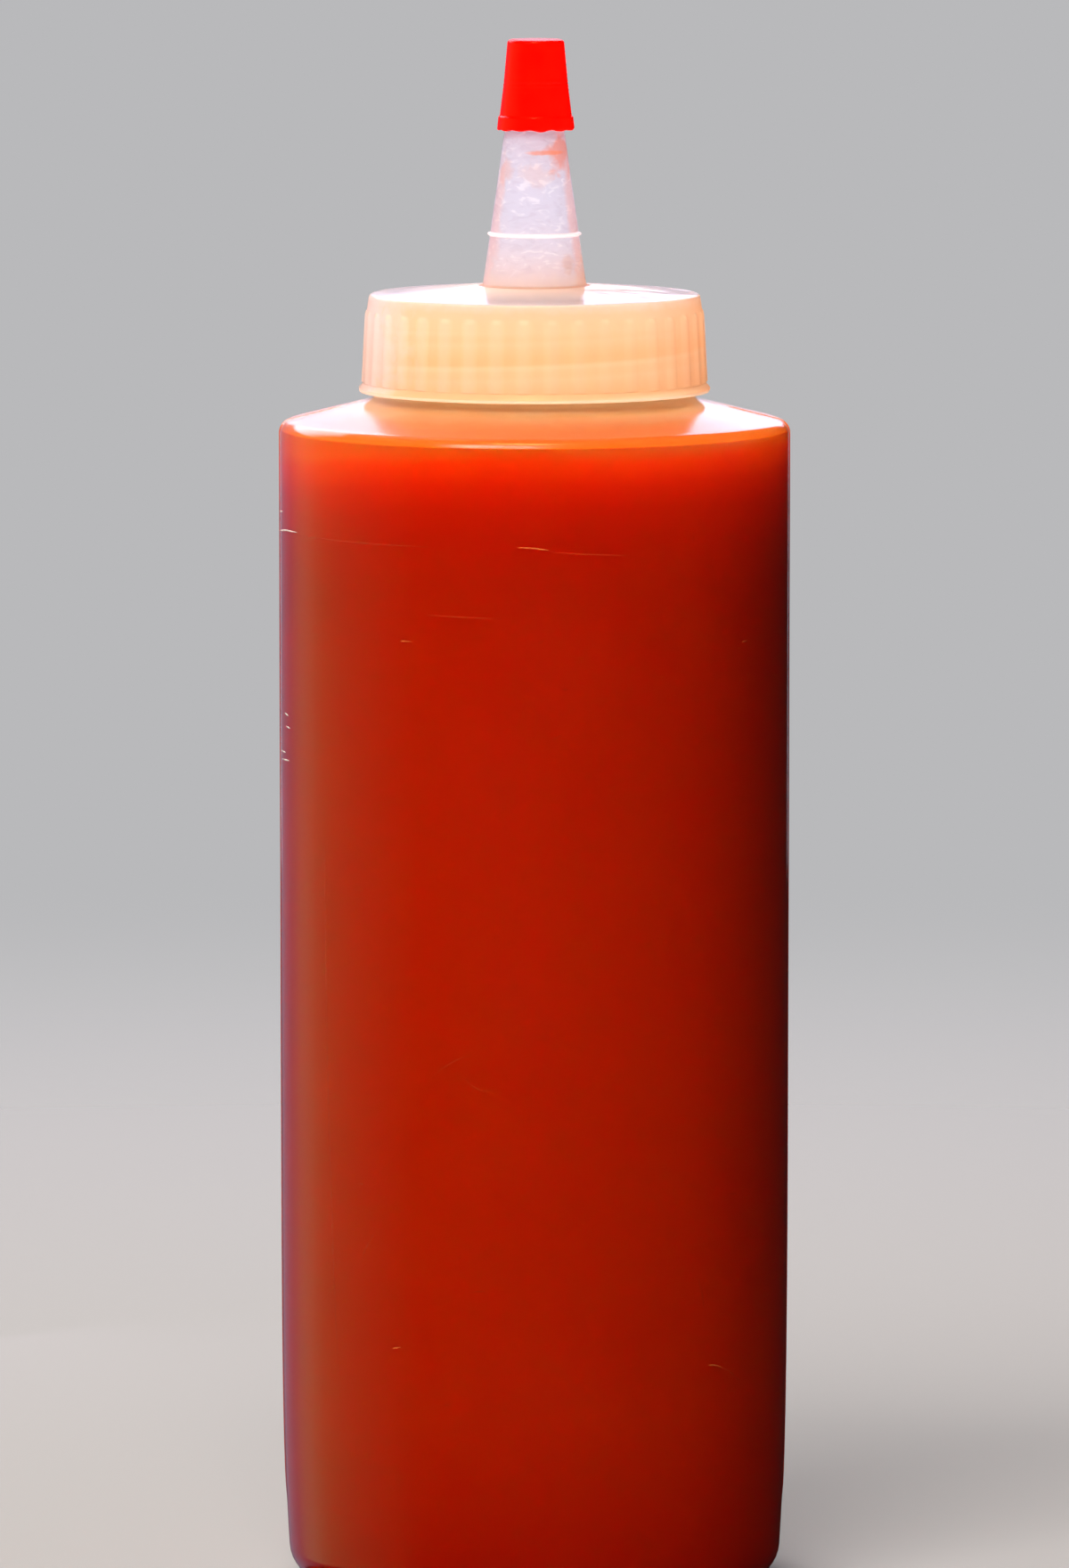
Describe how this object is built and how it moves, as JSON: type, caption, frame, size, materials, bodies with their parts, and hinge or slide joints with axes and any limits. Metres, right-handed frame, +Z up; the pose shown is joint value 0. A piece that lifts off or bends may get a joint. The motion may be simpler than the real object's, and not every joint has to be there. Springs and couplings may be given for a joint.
{
  "type": "barbecue sauce squeeze bottle",
  "caption": "Upright cylindrical squeeze bottle of milky plastic, full of red barbecue sauce, with a ribbed screw cap, a tapered pouring spout and a small red tip cap.",
  "frame": {"origin": "centre of the underside, at the height of the ring that the bottle stands on", "axes": "+Z up along the bottle's axis towards the spout; the mould's parting lines are on +X and -X, and -Y is the side seen from the front"},
  "size_m": [0.0596, 0.0594, 0.1802],
  "materials": {
    "bottle_plastic": "milky see-through low-density polyethylene, blow-moulded, soft gloss",
    "sauce": "smooth red-brown barbecue sauce, opaque in depth and bright orange where light shines into it",
    "cap_plastic": "milky injection-moulded polyethylene, glossy on top",
    "tip_plastic": "bright red moulded polyethylene, satin"
  },
  "bodies": {
    "root": {"bottle": "bottle_plastic", "sauce": "sauce", "spout_cap": "cap_plastic", "tip_cap": "tip_plastic"}
  },
  "joints": []
}
